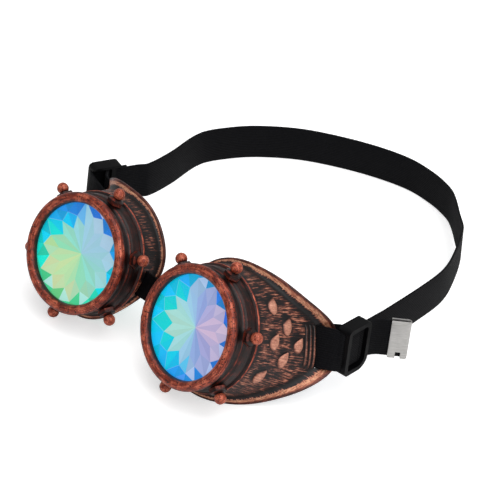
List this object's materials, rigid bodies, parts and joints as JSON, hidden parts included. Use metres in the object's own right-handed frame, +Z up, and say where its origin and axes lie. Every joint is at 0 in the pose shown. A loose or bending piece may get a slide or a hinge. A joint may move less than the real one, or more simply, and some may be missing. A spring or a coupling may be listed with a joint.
{
  "type": "costume goggles",
  "caption": "Round-lens costume goggles: flared eye cups with screw-on studded bezels and faceted crystal lenses, a flexible nose bridge and an elastic head strap on slides.",
  "frame": {"origin": "centre of the part's outline on the surface that it stands on", "axes": "+Z up from the surface, -Y the way the lenses look, +Y from the eye cups to the back of the strap, +X to the wearer's left; the wearer's left cup is at +X"},
  "size_m": [0.1972, 0.2218, 0.0681],
  "materials": {
    "copper_shell": "dark plastic rubbed with antique copper paint",
    "copper_bezel": "satin antique copper paint, worn to black in the grooves",
    "crystal": "polished, with a rainbow coating on the faceted back",
    "rubber": "smooth satin",
    "nylon": "fine matt",
    "webbing": "ribbed elastic weave",
    "clip": "satin"
  },
  "bodies": {
    "left_cup": {"left_eye_cup": "copper_shell", "left_strap_loop": "webbing", "head_strap": "webbing", "nose_bridge": "rubber"},
    "right_cup": {"right_eye_cup": "copper_shell", "right_strap_loop": "webbing"},
    "left_lens_carrier": {"left_crystal_lens": "crystal", "left_lens_gasket": "rubber"},
    "left_bezel": {"left_bezel_ring": "copper_bezel", "left_stud_1": "copper_bezel", "left_stud_2": "copper_bezel", "left_stud_3": "copper_bezel", "left_stud_4": "copper_bezel", "left_stud_5": "copper_bezel", "left_stud_6": "copper_bezel"},
    "right_lens_carrier": {"right_crystal_lens": "crystal", "right_lens_gasket": "rubber"},
    "right_bezel": {"right_bezel_ring": "copper_bezel", "right_stud_1": "copper_bezel", "right_stud_2": "copper_bezel", "right_stud_3": "copper_bezel", "right_stud_4": "copper_bezel", "right_stud_5": "copper_bezel", "right_stud_6": "copper_bezel"},
    "left_glide": {"left_tri_glide": "nylon", "left_strap_tail": "webbing", "left_end_clip": "clip"},
    "right_glide": {"right_tri_glide": "nylon", "right_strap_end": "webbing"}
  },
  "joints": [
    {"name": "bridge_flex", "type": "hinge", "parent": "left_cup", "child": "right_cup", "pos_m": [-0.0026, -0.07691, 0.02688], "axis": [0, 0.4648, 0.8854], "range_deg": [-12, 8], "stiffness_Nm_per_rad": 0.02, "deforming": ["nose_bridge", "head_strap"]},
    {"name": "left_bezel_travel", "type": "slide", "parent": "left_cup", "child": "left_lens_carrier", "axis": [-0.0633, -0.8831, 0.4648], "range_m": [0, 0.01051]},
    {"name": "left_bezel_turn", "type": "hinge", "parent": "left_lens_carrier", "child": "left_bezel", "pos_m": [0.03747, -0.08811, 0.03522], "axis": [-0.0633, -0.8831, 0.4648], "range_deg": [0, 1080]},
    {"name": "right_bezel_travel", "type": "slide", "parent": "right_cup", "child": "right_lens_carrier", "axis": [0.0633, -0.8831, 0.4648], "range_m": [0, 0.01051]},
    {"name": "right_bezel_turn", "type": "hinge", "parent": "right_lens_carrier", "child": "right_bezel", "pos_m": [-0.04268, -0.08811, 0.03522], "axis": [0.0633, -0.8831, 0.4648], "range_deg": [0, 1080]},
    {"name": "left_glide_slide", "type": "slide", "parent": "left_cup", "child": "left_glide", "axis": [-0.0521, 0.9933, -0.1032], "range_m": [0, 0.01]},
    {"name": "right_glide_slide", "type": "slide", "parent": "right_cup", "child": "right_glide", "axis": [0.2908, 0.9512, -0.1032], "range_m": [0, 0.004]}
  ],
  "couplings": [
    {"joint": "left_bezel_travel", "follows": "left_bezel_turn", "m_per_rad": 0.00055704},
    {"joint": "right_bezel_travel", "follows": "right_bezel_turn", "m_per_rad": 0.00055704}
  ]
}
